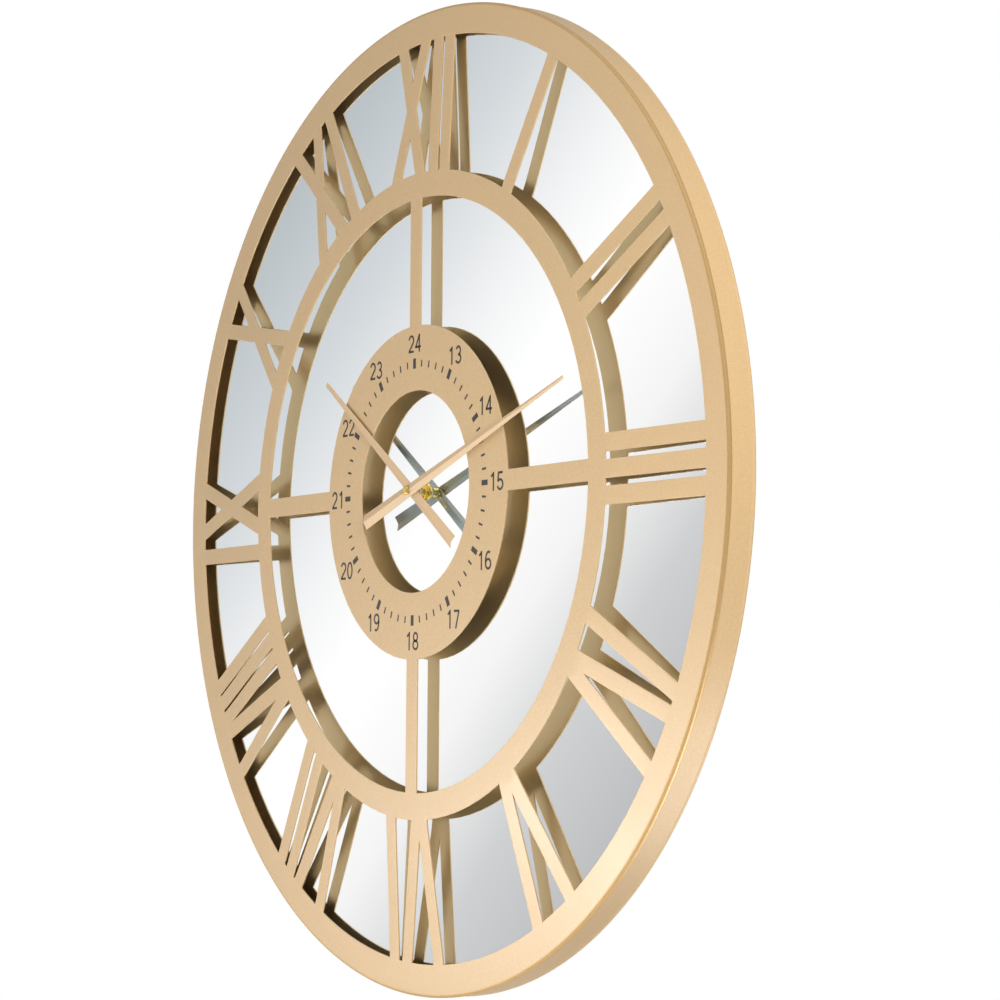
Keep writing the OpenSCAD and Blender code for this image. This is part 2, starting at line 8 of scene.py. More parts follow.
import bpy
import numpy as np
from mathutils import Euler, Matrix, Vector


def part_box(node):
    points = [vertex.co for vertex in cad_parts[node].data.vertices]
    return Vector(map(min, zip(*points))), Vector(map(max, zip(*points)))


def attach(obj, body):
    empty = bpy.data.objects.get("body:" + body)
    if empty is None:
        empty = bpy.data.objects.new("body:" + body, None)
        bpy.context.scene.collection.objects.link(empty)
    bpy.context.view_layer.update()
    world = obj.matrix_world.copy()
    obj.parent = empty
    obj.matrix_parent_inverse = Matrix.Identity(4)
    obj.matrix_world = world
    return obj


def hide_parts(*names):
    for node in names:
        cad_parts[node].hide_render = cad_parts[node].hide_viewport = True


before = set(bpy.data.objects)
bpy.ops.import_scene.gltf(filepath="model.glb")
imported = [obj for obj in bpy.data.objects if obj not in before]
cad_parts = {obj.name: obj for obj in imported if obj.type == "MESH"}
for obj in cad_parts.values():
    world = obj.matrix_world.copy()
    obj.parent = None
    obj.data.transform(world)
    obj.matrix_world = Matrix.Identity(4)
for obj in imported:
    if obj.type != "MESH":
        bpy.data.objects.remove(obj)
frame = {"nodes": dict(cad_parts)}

LOG = logging.getLogger("mirror_clock")
STATIC_BODY = "clock_body"
SMOOTH_BENDS = "smooth_bends"
MM = 0.001
HOURS = 12
MINUTES = 60

Pair = tuple[float, float]
Triple = tuple[float, float, float]
Stops = tuple[tuple[float, Triple], ...]
Source = bpy.types.NodeSocket | Triple | float

WHITE: Triple = (1.0, 1.0, 1.0)
EVENLY: Triple = (1.0, 1.0, 1.0)


def linear(red: int, green: int, blue: int) -> Triple:
    """Turns a colour of 0 to 255 on screen into the linear colour that shaders take.

    Args:
        red: Red on screen.
        green: Green on screen.
        blue: Blue on screen.

    Returns:
        The three linear values, by the usual curve of screens.
    """
    screen = np.array([red, green, blue]) / 255.0
    low, high = screen / 12.92, ((screen + 0.055) / 1.055) ** 2.4
    return tuple(float(value) for value in np.where(screen <= 0.04045, low, high))


def placed(name: str, data: bpy.types.ID) -> bpy.types.Object:
    """Puts a mesh, a lamp or a camera in the scene.

    Args:
        name: The object's name.
        data: What it shows.

    Returns:
        The object.
    """
    made = bpy.data.objects.new(name, data)
    bpy.context.scene.collection.objects.link(made)
    return made


def meshed(
    name: str, points: np.ndarray, faces: np.ndarray, *materials: bpy.types.Material
) -> bpy.types.Mesh:
    """Makes a mesh from whole arrays.

    Args:
        name: The mesh's name.
        points: Corners, one row for each.
        faces: Indices of corners, one row for each face.
        materials: The mesh's materials.

    Returns:
        The mesh.
    """
    mesh = bpy.data.meshes.new(name)
    mesh.from_pydata(points.tolist(), [], faces.tolist())
    for material in materials:
        mesh.materials.append(material)
    mesh.update()
    return mesh


class Side(Enum):
    """Which way a surface faces along the clock's depth."""

    FRONT = -1.0
    BACK = 1.0


class Step(Enum):
    """How a value runs from one end of a range to the other."""

    EVEN = "LINEAR"
    SOFT = "SMOOTHSTEP"


class Mixing(Enum):
    """What a mix node mixes: its data type, its two inputs and its output."""

    VALUES = ("FLOAT", 2, 3, 0)
    COLOURS = ("RGBA", 6, 7, 2)


class Tree:
    """A node tree, with short calls that add nodes and join them."""

    def __init__(self, owner: bpy.types.Material | bpy.types.World) -> None:
        """Starts on the tree of a material or a world.

        Args:
            owner: The material or the world.
        """
        owner.use_nodes = True
        self.tree = owner.node_tree
        self.place = self.node("TexCoord")

    def node(self, kind: str, **values: object) -> bpy.types.Node:
        """Adds a node and sets its properties.

        Args:
            kind: The node's type without its ShaderNode prefix.
            values: Properties of the node.

        Returns:
            The new node.
        """
        made = self.tree.nodes.new("ShaderNode" + kind)
        for name, value in values.items():
            setattr(made, name, value)
        return made

    def join(self, source: Source, target: bpy.types.NodeSocket) -> None:
        """Links an output to an input, or sets a constant on the input.

        Args:
            source: The output or the constant.
            target: The input.
        """
        if isinstance(source, bpy.types.NodeSocket):
            self.tree.links.new(source, target)
        else:
            target.default_value = (*source, 1.0) if target.type == "RGBA" else source

    def calc(self, operation: str, first: Source, second: Source = 0.0) -> bpy.types.NodeSocket:
        """Works out a value from one or two others.

        Args:
            operation: The math node's operation.
            first: The first value.
            second: The second value, for operations that take two.

        Returns:
            The result.
        """
        made = self.node("Math", operation=operation)
        for socket, value in zip(made.inputs, (first, second)):
            self.join(value, socket)
        return made.outputs["Value"]

    def part(self, vector: bpy.types.NodeSocket, axis: str) -> bpy.types.NodeSocket:
        """Takes one part of a vector.

        Args:
            vector: The vector.
            axis: X, Y or Z.

        Returns:
            That part.
        """
        made = self.node("SeparateXYZ")
        self.join(vector, made.inputs["Vector"])
        return made.outputs[axis]

    def along(self, vector: bpy.types.NodeSocket, axis: Triple) -> bpy.types.NodeSocket:
        """Works out a vector's share along an axis.

        Args:
            vector: The vector.
            axis: The axis.

        Returns:
            The share, which is their dot product.
        """
        made = self.node("VectorMath", operation="DOT_PRODUCT")
        self.join(vector, made.inputs[0])
        self.join(axis, made.inputs[1])
        return made.outputs["Value"]

    def ramp(self, value: bpy.types.NodeSocket, stops: Stops) -> bpy.types.NodeSocket:
        """Turns a value into a colour.

        Args:
            value: The value to read.
            stops: Places from 0 to 1 and their colours.

        Returns:
            The colour.
        """
        made = self.node("ValToRGB")
        elements = made.color_ramp.elements
        while len(elements) < len(stops):
            elements.new(0.5)
        for element, (position, colour) in zip(elements, stops):
            element.position = position
            element.color = (*colour, 1.0)
        self.join(value, made.inputs["Fac"])
        return made.outputs["Color"]

    def spread(
        self, value: bpy.types.NodeSocket, low: float, high: float,
        start: float = 0.0, end: float = 1.0, step: Step = Step.EVEN,
    ) -> bpy.types.NodeSocket:
        """Maps a value from one range onto another.

        Args:
            value: The value to read.
            low: The result at the start.
            high: The result at the end.
            start: The value where the range starts.
            end: The value where it ends.
            step: How the result runs between them.

        Returns:
            The mapped value.
        """
        made = self.node("MapRange", interpolation_type=step.value)
        ends = {"From Min": start, "From Max": end, "To Min": low, "To Max": high}
        for name, level in ends.items():
            self.join(level, made.inputs[name])
        self.join(value, made.inputs["Value"])
        return made.outputs["Result"]

    def mixed(
        self, mixing: Mixing, mask: bpy.types.NodeSocket, first: Source, second: Source
    ) -> bpy.types.NodeSocket:
        """Mixes two values or two colours by a mask.

        Args:
            mixing: Whether values or colours are mixed.
            mask: 0 gives the first and 1 the second.
            first: The first value or colour.
            second: The second value or colour.

        Returns:
            The mixture.
        """
        kind, one, other, result = mixing.value
        made = self.node("Mix", data_type=kind)
        self.join(mask, made.inputs["Factor"])
        self.join(first, made.inputs[one])
        self.join(second, made.inputs[other])
        return made.outputs[result]


class Shader(Tree):
    """A material's node tree around one principled shader.

    A face looks to a side when its normal's share that way is over the value facing.
    """

    facing: float = 0.5

    def __init__(self, name: str) -> None:
        """Starts a material.

        Args:
            name: The material's name.
        """
        self.material = bpy.data.materials.new(name)
        super().__init__(self.material)
        self.surface = self.tree.nodes["Principled BSDF"]

    def give(self, **values: Source) -> None:
        """Gives the surface its values.

        Args:
            values: Socket names with _ for spaces, and the outputs or constants for them.
        """
        for name, value in values.items():
            self.join(value, self.surface.inputs[name.replace("_", " ")])

    def noise(
        self, scale: float, detail: float = 3.0, stretch: Triple = EVENLY
    ) -> bpy.types.NodeSocket:
        """Adds noise on object coordinates.

        Args:
            scale: Blobs per metre.
            detail: Octaves of finer noise.
            stretch: Factors on the three axes.

        Returns:
            The noise as a value from 0 to 1.
        """
        mapping = self.node("Mapping")
        texture = self.node("TexNoise")
        self.join(self.place.outputs["Object"], mapping.inputs["Vector"])
        self.join(stretch, mapping.inputs["Scale"])
        self.join(mapping.outputs["Vector"], texture.inputs["Vector"])
        self.join(scale, texture.inputs["Scale"])
        self.join(detail, texture.inputs["Detail"])
        return texture.outputs["Fac"]

    def two_tone(
        self, value: bpy.types.NodeSocket, stops: Pair, dark: Triple, light: Triple
    ) -> bpy.types.NodeSocket:
        """Turns a value into a colour between two tones.

        Args:
            value: The value to read.
            stops: Where the dark tone ends and where the light one begins.
            dark: The dark tone.
            light: The light tone.

        Returns:
            The colour.
        """
        return self.ramp(value, tuple(zip(stops, (dark, light))))

    def faces(self, side: Side) -> bpy.types.NodeSocket:
        """A mask that is 1 on the faces that look to one side of the clock's depth.

        Args:
            side: The side to find.

        Returns:
            The mask.
        """
        depth = self.part(self.place.outputs["Normal"], "Y")
        return self.calc("GREATER_THAN", self.calc("MULTIPLY", depth, side.value), self.facing)

    def bump(self, height: bpy.types.NodeSocket, depth: float, share: float) -> None:
        """Bends the surface's normal by a height.

        Args:
            height: The height as a value from 0 to 1.
            depth: The depth in metres.
            share: The share of it that shows.
        """
        made = self.node("Bump")
        self.join(share, made.inputs["Strength"])
        self.join(depth, made.inputs["Distance"])
        self.join(height, made.inputs["Height"])
        self.give(Normal=made.outputs["Normal"])


@dataclass(frozen=True)
class Finish:
    """What a solid is finished with."""

    name: str

    def material(self) -> bpy.types.Material:
        """Builds the finish.

        Returns:
            The material.
        """
        raise NotImplementedError


@dataclass(frozen=True)
class SatinPaint(Finish):
    """Satin gold paint with flecks, a fine grain and a lacquer, shinier behind, with a lighter tone
    behind as painted light for what the mirror throws on the backs.
    """

    light: Triple
    dark: Triple
    metallic: float
    smooth: float
    rough: float
    lacquer: float
    fleck_per_metre: float = 900.0
    fleck_stops: Pair = (0.32, 0.68)
    cloud_per_metre: float = 14.0
    grain_per_metre: float = 2600.0
    grain_depth: float = 0.012 * MM
    grain_share: float = 0.5
    # painted light: the back faces take this lighter tone in place of the light that the mirror
    # throws on them
    thin: Triple = linear(240, 204, 150)
    back_metallic: float = 0.75
    back_rough: float = 0.3

    def material(self) -> bpy.types.Material:
        """Builds the paint, which shines more like metal behind and takes a lighter tone there:
        painted light for what the mirror throws on the backs.

        Returns:
            The material.
        """
        shader = Shader(self.name)
        behind = shader.faces(Side.BACK)
        fleck = shader.noise(self.fleck_per_metre)
        front = shader.two_tone(fleck, self.fleck_stops, self.dark, self.light)
        cloud = shader.noise(self.cloud_per_metre, detail=2.0)
        satin = shader.spread(cloud, self.smooth, self.rough)
        shader.give(
            # painted light: the back faces get the lighter tone, the front faces the flecked gold
            Base_Color=shader.mixed(Mixing.COLOURS, behind, front, self.thin),
            Metallic=shader.spread(behind, self.metallic, self.back_metallic),
            Roughness=shader.mixed(Mixing.VALUES, behind, satin, self.back_rough),
            Coat_Weight=self.lacquer,
            Coat_Roughness=self.rough,
        )
        grain = shader.noise(self.grain_per_metre, detail=2.0)
        shader.bump(grain, self.grain_depth, self.grain_share)
        return shader.material


@dataclass(frozen=True)
class FoldedSheet(Finish):
    """Gold paint on the front of a folded sheet, bare brushed metal behind."""

    light: Triple
    dark: Triple
    bare: Triple
    metallic: float
    rough: float
    stops: Pair = (0.3, 0.7)
    grain_per_metre: float = 2400.0
    grain_depth: float = 0.01 * MM
    grain_share: float = 0.3
    brush_per_metre: float = 500.0
    brush_stretch: Triple = (1.0, 1.0, 9.0)
    brush_shade: float = 0.82
    bare_metallic: float = 0.9
    bare_rough: float = 0.4

    def material(self) -> bpy.types.Material:
        """Builds the painted and bare sides.

        Returns:
            The material.
        """
        shader = Shader(self.name)
        behind = shader.faces(Side.BACK)
        grain = shader.noise(self.grain_per_metre, detail=2.0)
        front = shader.two_tone(grain, self.stops, self.dark, self.light)
        brushed = shader.noise(self.brush_per_metre, detail=4.0, stretch=self.brush_stretch)
        shade = tuple(self.brush_shade * value for value in self.bare)
        bare = shader.two_tone(brushed, self.stops, shade, self.bare)
        shader.give(
            Base_Color=shader.mixed(Mixing.COLOURS, behind, front, bare),
            Metallic=shader.spread(behind, self.metallic, self.bare_metallic),
            Roughness=shader.spread(behind, self.rough, self.bare_rough),
        )
        shader.bump(grain, self.grain_depth, self.grain_share)
        return shader.material


@dataclass(frozen=True)
class SilveredGlass(Finish):
    """A mirror with a clear face and a green ground edge."""

    silver: Triple
    edge: Triple
    edge_rough: float = 0.3
    haze_per_metre: float = 9.0
    haze_rough: float = 0.012

    def material(self) -> bpy.types.Material:
        """Builds the mirror.

        Returns:
            The material.
        """
        shader = Shader(self.name)
        face = shader.faces(Side.FRONT)
        haze = shader.noise(self.haze_per_metre, detail=2.0)
        polish = shader.spread(haze, 0.0, self.haze_rough)
        shader.give(
            Base_Color=shader.mixed(Mixing.COLOURS, face, self.edge, self.silver),
            Metallic=face,
            Roughness=shader.mixed(Mixing.VALUES, face, self.edge_rough, polish),
        )
        return shader.material


@dataclass(frozen=True)
class PressedFibre(Finish):
    """Bare pressed fibreboard with fine fibres and darker flecks."""

    light: Triple
    dark: Triple
    smooth: float = 0.72
    rough: float = 0.9
    fibre_per_metre: float = 700.0
    fibre_stretch: Triple = (1.0, 1.0, 2.5)
    fibre_stops: Pair = (0.3, 0.72)
    fibre_depth: float = 0.12 * MM
    fibre_share: float = 0.6
    fleck_per_metre: float = 120.0
    fleck_stops: Pair = (0.60, 0.72)
    fleck_share: float = 0.5

    def material(self) -> bpy.types.Material:
        """Builds the board.

        Returns:
            The material.
        """
        shader = Shader(self.name)
        fibre = shader.noise(self.fibre_per_metre, detail=5.0, stretch=self.fibre_stretch)
        base = shader.two_tone(fibre, self.fibre_stops, self.dark, self.light)
        fleck = shader.noise(self.fleck_per_metre)
        spots = shader.two_tone(fleck, self.fleck_stops, (0.0,) * 3, (self.fleck_share,) * 3)
        shader.give(
            Base_Color=shader.mixed(Mixing.COLOURS, spots, base, self.dark),
            Roughness=shader.spread(fibre, self.smooth, self.rough),
        )
        shader.bump(fibre, self.fibre_depth, self.fibre_share)
        return shader.material


class Marks(Enum):
    """Tool marks on bare metal, as the stretch of their noise."""

    TURNED = (1.0, 30.0, 1.0)
    ROLLED = (1.0, 1.0, 14.0)


@dataclass(frozen=True)
class BareMetal(Finish):
    """Bare metal with the marks that its tool left."""

    light: Triple
    dark: Triple
    smooth: float
    rough: float
    marks: Marks
    marks_per_metre: float = 420.0
    marks_depth: float = 0.02 * MM
    marks_share: float = 0.4
    tarnish_per_metre: float = 160.0
    tarnish_stops: Pair = (0.32, 0.66)

    def material(self) -> bpy.types.Material:
        """Builds the metal.

        Returns:
            The material.
        """
        shader = Shader(self.name)
        lines = shader.noise(self.marks_per_metre, detail=4.0, stretch=self.marks.value)
        tarnish = shader.noise(self.tarnish_per_metre)
        shader.give(
            Base_Color=shader.two_tone(tarnish, self.tarnish_stops, self.dark, self.light),
            Metallic=1.0,
            Roughness=shader.spread(lines, self.smooth, self.rough),
        )
        shader.bump(lines, self.marks_depth, self.marks_share)
        return shader.material


@dataclass(frozen=True)
class Moulded(Finish):
    """Moulded plastic, rubber, lacquer or ink with a fine grain."""

    light: Triple
    dark: Triple
    smooth: float
    rough: float
    grain_per_metre: float
    grain_depth: float
    grain_stops: Pair = (0.3, 0.7)
    grain_share: float = 0.5

    def material(self) -> bpy.types.Material:
        """Builds the moulding.

        Returns:
            The material.
        """
        shader = Shader(self.name)
        grain = shader.noise(self.grain_per_metre)
        shader.give(
            Base_Color=shader.two_tone(grain, self.grain_stops, self.dark, self.light),
            Roughness=shader.spread(grain, self.smooth, self.rough),
        )
        shader.bump(grain, self.grain_depth, self.grain_share)
        return shader.material


@dataclass(frozen=True)
class Wound(Finish):
    """Enamelled wire wound in close turns across the coil."""

    light: Triple
    dark: Triple
    turns_per_metre: float
    turns_per_scale: float = 20.0
    turn_stops: Pair = (0.2, 0.8)
    turn_depth: float = 0.1 * MM
    turn_share: float = 0.8
    metallic: float = 0.8
    rough: float = 0.32

    def material(self) -> bpy.types.Material:
        """Builds the winding, with one band for each turn along X.

        Returns:
            The material.
        """
        shader = Shader(self.name)
        wave = shader.node("TexWave", bands_direction="X")
        shader.join(self.turns_per_metre / self.turns_per_scale, wave.inputs["Scale"])
        shader.join(shader.place.outputs["Object"], wave.inputs["Vector"])
        turns = wave.outputs["Fac"]
        shader.give(
            Base_Color=shader.two_tone(turns, self.turn_stops, self.dark, self.light),
            Metallic=self.metallic,
            Roughness=self.rough,
        )
        shader.bump(turns, self.turn_depth, self.turn_share)
        return shader.material


@dataclass(frozen=True)
class CellWrap(Finish):
    """A plain two-tone sleeve round a cell, with bare metal at its ends."""

    sleeve: Triple
    band: Triple
    metal: Triple
    half_length: float
    band_start: float
    sleeve_metallic: float = 0.3
    scuffs_per_metre: float = 300.0
    smooth: float = 0.25
    rough: float = 0.36

    def material(self) -> bpy.types.Material:
        """Builds the sleeve from the place along the cell.

        Returns:
            The material.
        """
        shader = Shader(self.name)
        place = shader.part(shader.place.outputs["Object"], "X")
        band = shader.calc("GREATER_THAN", place, self.band_start)
        ends = shader.calc("GREATER_THAN", shader.calc("ABSOLUTE", place), self.half_length)
        wrap = shader.mixed(Mixing.COLOURS, band, self.sleeve, self.band)
        scuffs = shader.noise(self.scuffs_per_metre)
        shader.give(
            Base_Color=shader.mixed(Mixing.COLOURS, ends, wrap, self.metal),
            Metallic=shader.spread(ends, self.sleeve_metallic, 1.0),
            Roughness=shader.spread(scuffs, self.smooth, self.rough),
        )
        return shader.material


GOLD = SatinPaint(
    "gold_paint", light=linear(222, 188, 138), dark=linear(212, 178, 129),
    metallic=0.03, smooth=0.36, rough=0.42, lacquer=0.5,
)
RIM_GOLD = SatinPaint(
    "rim_gold", light=linear(224, 189, 138), dark=linear(214, 179, 129),
    metallic=0.03, smooth=0.44, rough=0.50, lacquer=0.0,
)
# painted shade: a darker, more metallic gold for the dark line along the rim's front bead
BEAD_SHADE_GOLD = SatinPaint(
    "bead_shade_gold", light=linear(212, 174, 118), dark=linear(202, 164, 108),
    metallic=0.55, smooth=0.40, rough=0.48, lacquer=0.0,
)
HAND_GOLD = FoldedSheet(
    "hand_gold", light=linear(228, 196, 154), dark=linear(220, 187, 145),
    bare=linear(236, 240, 238), metallic=0.05, rough=0.5,
)
MIRROR = SilveredGlass("silvered_glass", silver=(0.930, 0.970, 0.945), edge=linear(120, 165, 145))
BOARD = PressedFibre("pressed_fibre", light=linear(150, 118, 86), dark=linear(112, 84, 58))
STEEL = BareMetal(
    "zinc_steel", light=linear(205, 207, 210), dark=linear(172, 175, 178),
    smooth=0.26, rough=0.42, marks=Marks.ROLLED,
)
BRASS = BareMetal(
    "turned_brass", light=linear(238, 214, 132), dark=linear(216, 186, 98),
    smooth=0.14, rough=0.26, marks=Marks.TURNED,
)
RUBBER = Moulded(
    "black_rubber", light=linear(46, 46, 46), dark=linear(34, 34, 34),
    smooth=0.7, rough=0.88, grain_per_metre=1400.0, grain_depth=0.06 * MM,
)
CASE = Moulded(
    "black_case", light=linear(40, 40, 42), dark=linear(28, 28, 30),
    smooth=0.44, rough=0.6, grain_per_metre=2600.0, grain_depth=0.05 * MM,
)
IVORY = Moulded(
    "ivory_gears", light=linear(232, 226, 208), dark=linear(222, 214, 194),
    smooth=0.36, rough=0.46, grain_per_metre=900.0, grain_depth=0.02 * MM,
)
CIRCUIT = Moulded(
    "green_lacquer", light=linear(44, 104, 62), dark=linear(30, 82, 48),
    smooth=0.2, rough=0.32, grain_per_metre=500.0, grain_depth=0.02 * MM,
)
INK = Moulded(
    "dial_ink", light=linear(66, 60, 58), dark=linear(54, 49, 47),
    smooth=0.5, rough=0.62, grain_per_metre=1800.0, grain_depth=0.01 * MM,
)
COIL = Wound(
    "copper_coil", light=linear(196, 112, 62), dark=linear(122, 58, 30), turns_per_metre=5200.0
)
CELL = CellWrap(
    "cell_sleeve", sleeve=linear(62, 68, 76), band=linear(178, 146, 84),
    metal=linear(206, 206, 204), half_length=23.8 * MM, band_start=12.5 * MM,
)


@dataclass
class Dressing:
    """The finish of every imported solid, the fine rounding of the cut sheets and smooth bends."""

    sheet_round: float = 0.35 * MM
    hand_round: float = 0.12 * MM
    round_steps: int = 3
    sharp_angle: float = math.radians(40.0)
    bend_angle: float = math.radians(24.0)
    weld_reach: float = 0.001 * MM

    def finishes(self) -> tuple[tuple[Finish, tuple[str, ...]], ...]:
        """Which solids take which finish.

        Returns:
            Each finish with the names of its solids.
        """
        return (
            (GOLD, ("face_plate",)),
            (RIM_GOLD, ("rim_band", "rim_tabs")),
            (HAND_GOLD, ("minute_hand", "hour_hand")),
            (MIRROR, ("mirror_glass",)),
            (BOARD, ("back_board",)),
            (STEEL, ("board_screws", "hanger_bracket", "hanger_screws")),
            (BRASS, (
                "threaded_bush", "flat_washer", "hex_nut", "contact_positive", "contact_negative",
                "minute_arbor", "minute_hand_bush", "cap_nut", "hour_hand_collet",
            )),
            (RUBBER, ("wall_bumpers", "rubber_gasket")),
            (CASE, ("movement_case", "movement_cover", "setting_knob")),
            (IVORY, ("motor_unit", "hour_wheel", "hour_pipe", "motion_wheel")),
            (CIRCUIT, ("circuit_board",)),
            (COIL, ("drive_coil",)),
            (CELL, ("battery",)),
        )

    def dress(self, nodes: dict[str, bpy.types.Object]) -> None:
        """Gives each solid its material.

        Args:
            nodes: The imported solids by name.
        """
        for finish, names in self.finishes():
            material = finish.material()
            for name in names:
                slots = nodes[name].data.materials
                slots.clear()
                slots.append(material)
                LOG.info("%s dressed in %s", name, finish.name)

    def soften(self, node: bpy.types.Object, width: float) -> None:
        """Rounds the cut edges of a sheet a little, as paint does.

        Args:
            node: The sheet.
            width: The rounding's width in metres.
        """
        bevel = node.modifiers.new("paint_edge", "BEVEL")
        bevel.width = width
        bevel.segments = self.round_steps
        bevel.limit_method = "ANGLE"
        bevel.angle_limit = self.sharp_angle
        bevel.harden_normals = False

    def smoothing(self) -> bpy.types.NodeTree:
        """Makes the modifier that shades bends smooth and keeps real edges sharp.

        Returns:
            The geometry nodes.
        """
        group = bpy.data.node_groups.new(SMOOTH_BENDS, "GeometryNodeTree")
        for way in ("INPUT", "OUTPUT"):
            group.interface.new_socket("Geometry", in_out=way, socket_type="NodeSocketGeometry")
        nodes, links = group.nodes, group.links
        start, end = nodes.new("NodeGroupInput"), nodes.new("NodeGroupOutput")
        faces = nodes.new("GeometryNodeSetShadeSmooth")
        edges = nodes.new("GeometryNodeSetShadeSmooth")
        edges.domain = "EDGE"
        edges.inputs["Shade Smooth"].default_value = False
        angle = nodes.new("GeometryNodeInputMeshEdgeAngle")
        sharp = nodes.new("FunctionNodeCompare")
        sharp.operation = "GREATER_THAN"
        sharp.inputs["B"].default_value = self.bend_angle
        links.new(start.outputs["Geometry"], faces.inputs["Geometry"])
        links.new(faces.outputs["Geometry"], edges.inputs["Geometry"])
        links.new(angle.outputs["Unsigned Angle"], sharp.inputs["A"])
        links.new(sharp.outputs["Result"], edges.inputs["Selection"])
        links.new(edges.outputs["Geometry"], end.inputs["Geometry"])
        return group

    def build(self, nodes: dict[str, bpy.types.Object]) -> None:
        """Dresses all the solids, softens the sheets and smooths the bends.

        Args:
            nodes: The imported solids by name.
        """
        self.dress(nodes)
        rounds = {
            "face_plate": self.sheet_round,
            "minute_hand": self.hand_round,
            "hour_hand": self.hand_round,
        }
        smooth = self.smoothing()
        for name, node in nodes.items():
            weld = node.modifiers.new("join_faces", "WELD")
            weld.merge_threshold = self.weld_reach
            if name in rounds:
                self.soften(node, rounds[name])
            node.modifiers.new(SMOOTH_BENDS, "NODES").node_group = smooth
            flat = node.modifiers.new("flat_faces", "WEIGHTED_NORMAL")
            flat.keep_sharp = True


@dataclass
class RimRoll:
    """The rim: a wall with a bead along its front and its back, the front one in a darker gold that
    paints shade along the edge.
    """

    bead_r: float = 1.8 * MM
    wall_inset: float = 0.35 * MM
    overlap: float = 0.8 * MM
    cover: float = 0.05 * MM
    turns: int = 480
    arc_steps: int = 13

    def __post_init__(self) -> None:
        """Takes the rim's radius, depth, centre and paint from its solid."""
        low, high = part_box("rim_band")
        self.radius = (high.x - low.x) / 2
        self.front, self.back = low.y, high.y
        self.centre = np.array([(low.x + high.x) / 2, 0.0, (low.z + high.z) / 2])
        self.paint = frame["nodes"]["rim_band"].material_slots[0].material

    def arc(self, centre: Pair, first: float, last: float) -> np.ndarray:
        """A bead's arc in the section: the centre plus the bead's radius times (cos a, sin a).

        Args:
            centre: The bead's centre as radius from the clock's axis and depth.
            first: First angle in radians, from outwards towards the wall.
            last: Last angle in radians.

        Returns:
            Its points.
        """
        angles = np.linspace(first, last, self.arc_steps)
        return np.array(centre) + self.bead_r * np.stack([np.cos(angles), np.sin(angles)], axis=1)

    def section(self) -> np.ndarray:
        """Works out the closed section, from the thin cover on the face's edge round to the bore.

        Returns:
            Points as radius from the clock's axis and depth towards the wall.
        """
        bore, front, quarter = self.radius - self.bead_r, self.front - self.cover, math.pi / 2
        meets = math.acos(1.0 - self.wall_inset / self.bead_r)
        return np.concatenate([
            [[bore - self.overlap, front]],
            self.arc((bore, front + self.bead_r), -quarter, meets),
            self.arc((bore, self.back - self.bead_r), -meets, quarter),
            [[bore, self.front], [bore - self.overlap, self.front]],
        ])

    def build(self) -> bpy.types.Object:
        """Carries the section round the clock's axis.

        A point is the centre plus its radius along (cos a, 0, sin a) plus its depth along Y.
        The faces along the front bead take a darker, more metallic gold: painted shade along the
        edge.

        Returns:
            The piece.
        """
        section = self.section()
        count = len(section)
        turn = np.linspace(0.0, math.tau, self.turns, endpoint=False)[:, None]
        radius = section[None, :, 0]
        depth = np.broadcast_to(section[None, :, 1], (self.turns, count))
        points = np.stack([radius * np.cos(turn), depth, radius * np.sin(turn)], axis=2)
        points = (points + self.centre).reshape(-1, 3)
        here, along = np.meshgrid(np.arange(self.turns), np.arange(count), indexing="ij")
        after, beyond = (here + 1) % self.turns, (along + 1) % count
        corners = ((here, along), (here, beyond), (after, beyond), (after, along))
        faces = np.stack([a * count + b for a, b in corners], axis=2).reshape(-1, 4)
        # painted shade: the front bead's faces take the darker gold
        shaded_bead = (along >= 1) & (along < self.arc_steps)
        mesh = meshed("rim_roll", points, faces, self.paint, BEAD_SHADE_GOLD.material())
        mesh.polygons.foreach_set("material_index", shaded_bead.reshape(-1).astype(np.int32))
        mesh.update()
        piece = placed("rim_roll", mesh)
        piece.modifiers.new(SMOOTH_BENDS, "NODES").node_group = bpy.data.node_groups[SMOOTH_BENDS]
        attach(piece, STATIC_BODY)
        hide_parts("rim_band")
        LOG.info("rim_roll built from %d points", len(points))
        return piece


@dataclass(frozen=True)
class Ribbon:
    """A flat closed band along a path: its points, which of them are raised, and its faces."""

    flat: np.ndarray
    raised: np.ndarray
    faces: np.ndarray


